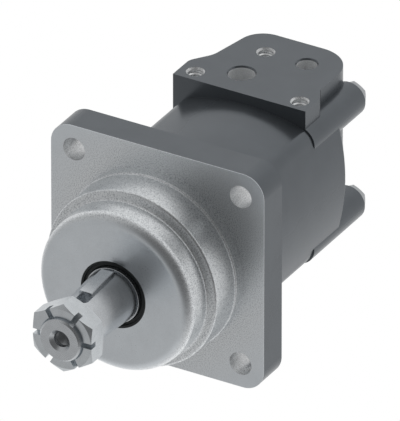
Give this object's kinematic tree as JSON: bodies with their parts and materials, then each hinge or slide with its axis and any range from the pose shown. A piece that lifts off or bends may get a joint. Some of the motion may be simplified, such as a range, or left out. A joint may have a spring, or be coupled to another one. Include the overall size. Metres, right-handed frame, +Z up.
{
  "type": "orbital hydraulic motor",
  "caption": "Wheel type orbital hydraulic motor with a square flange, keyed taper shaft with slotted nut, and a port block on its valve housing.",
  "frame": {"origin": "centre of the mounting face of the flange, on the shaft axis", "axes": "+X right seen from the shaft end, +Y back along the shaft axis, away from the taper end, +Z up towards the port face"},
  "size_m": [0.1334, 0.2675, 0.1334],
  "materials": {
    "cast_grey": "satin grey coat, machined front",
    "ground_steel": "satin grey coat outside, ground faces",
    "machined_steel": "turned and ground",
    "nut_steel": "satin",
    "zinc_steel": "bright zinc",
    "bearing_steel": "ground bright",
    "cage_steel": "pressed sheet",
    "black_rubber": "matte"
  },
  "bodies": {
    "housing": {"bearing_housing": "cast_grey", "valve_housing": "cast_grey", "wear_plate": "ground_steel", "geroler_ring": "ground_steel", "valve_plate": "ground_steel", "assembly_bolts": "zinc_steel", "dust_seal": "black_rubber", "shaft_seal": "black_rubber", "front_bearing_cup": "bearing_steel", "rear_bearing_cup": "bearing_steel", "preload_shim": "bearing_steel", "bearing_retainer": "machined_steel", "balance_ring": "machined_steel", "balance_ring_seal": "black_rubber", "disc_spring": "bearing_steel", "locating_pins": "bearing_steel", "section_seal_1": "black_rubber", "section_seal_2": "black_rubber", "section_seal_3": "black_rubber", "section_seal_4": "black_rubber"},
    "shaft": {"output_shaft": "machined_steel", "shaft_key": "machined_steel", "castle_nut": "nut_steel", "front_bearing_cone": "bearing_steel", "rear_bearing_cone": "bearing_steel"},
    "front_cage": {"front_bearing_rollers": "bearing_steel", "front_bearing_cage": "cage_steel"},
    "rear_cage": {"rear_bearing_rollers": "bearing_steel", "rear_bearing_cage": "cage_steel"},
    "orbit": {"drive_spacer": "bearing_steel"},
    "star": {"geroler_star": "bearing_steel"},
    "main_link": {"main_drive_link": "machined_steel"},
    "valve_link": {"valve_drive_link": "machined_steel"},
    "disc": {"valve_disc": "bearing_steel"},
    "ring_roller_1": {"geroler_roller_1": "bearing_steel"},
    "ring_roller_2": {"geroler_roller_2": "bearing_steel"},
    "ring_roller_3": {"geroler_roller_3": "bearing_steel"},
    "ring_roller_4": {"geroler_roller_4": "bearing_steel"},
    "ring_roller_5": {"geroler_roller_5": "bearing_steel"},
    "ring_roller_6": {"geroler_roller_6": "bearing_steel"},
    "ring_roller_7": {"geroler_roller_7": "bearing_steel"}
  },
  "joints": [
    {"name": "shaft_spin", "type": "hinge", "parent": "housing", "child": "shaft", "pos_m": [0, 0, 0], "axis": [0, 1, 0], "continuous": true},
    {"name": "front_cage_spin", "type": "hinge", "parent": "housing", "child": "front_cage", "pos_m": [0, 0, 0], "axis": [0, 1, 0], "continuous": true},
    {"name": "rear_cage_spin", "type": "hinge", "parent": "housing", "child": "rear_cage", "pos_m": [0, 0, 0], "axis": [0, 1, 0], "continuous": true},
    {"name": "star_orbit", "type": "hinge", "parent": "housing", "child": "orbit", "pos_m": [0, 0, 0], "axis": [0, 1, 0], "continuous": true},
    {"name": "star_spin", "type": "hinge", "parent": "orbit", "child": "star", "pos_m": [0, 0.0706, 0.0029], "axis": [0, 1, 0], "continuous": true},
    {"name": "main_link_spin", "type": "hinge", "parent": "orbit", "child": "main_link", "pos_m": [0, 0.028, 0], "axis": [0, 0.9977, 0.0679], "continuous": true},
    {"name": "valve_link_spin", "type": "hinge", "parent": "orbit", "child": "valve_link", "pos_m": [0, 0.0827, 0.0029], "axis": [0, 0.9932, -0.1161], "continuous": true},
    {"name": "valve_disc_spin", "type": "hinge", "parent": "housing", "child": "disc", "pos_m": [0, 0.1075, 0], "axis": [0, 1, 0], "continuous": true},
    {"name": "ring_roller_1_spin", "type": "hinge", "parent": "housing", "child": "ring_roller_1", "pos_m": [0, 0.076, 0.031], "axis": [0, 1, 0], "continuous": true},
    {"name": "ring_roller_2_spin", "type": "hinge", "parent": "housing", "child": "ring_roller_2", "pos_m": [0.02424, 0.076, 0.01933], "axis": [0, 1, 0], "continuous": true},
    {"name": "ring_roller_3_spin", "type": "hinge", "parent": "housing", "child": "ring_roller_3", "pos_m": [0.03022, 0.076, -0.0069], "axis": [0, 1, 0], "continuous": true},
    {"name": "ring_roller_4_spin", "type": "hinge", "parent": "housing", "child": "ring_roller_4", "pos_m": [0.01345, 0.076, -0.02793], "axis": [0, 1, 0], "continuous": true},
    {"name": "ring_roller_5_spin", "type": "hinge", "parent": "housing", "child": "ring_roller_5", "pos_m": [-0.01345, 0.076, -0.02793], "axis": [0, 1, 0], "continuous": true},
    {"name": "ring_roller_6_spin", "type": "hinge", "parent": "housing", "child": "ring_roller_6", "pos_m": [-0.03022, 0.076, -0.0069], "axis": [0, 1, 0], "continuous": true},
    {"name": "ring_roller_7_spin", "type": "hinge", "parent": "housing", "child": "ring_roller_7", "pos_m": [-0.02424, 0.076, 0.01933], "axis": [0, 1, 0], "continuous": true}
  ],
  "couplings": [
    {"joint": "front_cage_spin", "follows": "shaft_spin", "ratio": 0.44094},
    {"joint": "rear_cage_spin", "follows": "shaft_spin", "ratio": 0.44094},
    {"joint": "star_orbit", "follows": "shaft_spin", "ratio": -6},
    {"joint": "star_spin", "follows": "shaft_spin", "ratio": 7},
    {"joint": "main_link_spin", "follows": "shaft_spin", "ratio": 7},
    {"joint": "valve_link_spin", "follows": "shaft_spin", "ratio": 7},
    {"joint": "valve_disc_spin", "follows": "shaft_spin", "ratio": 1}
  ]
}
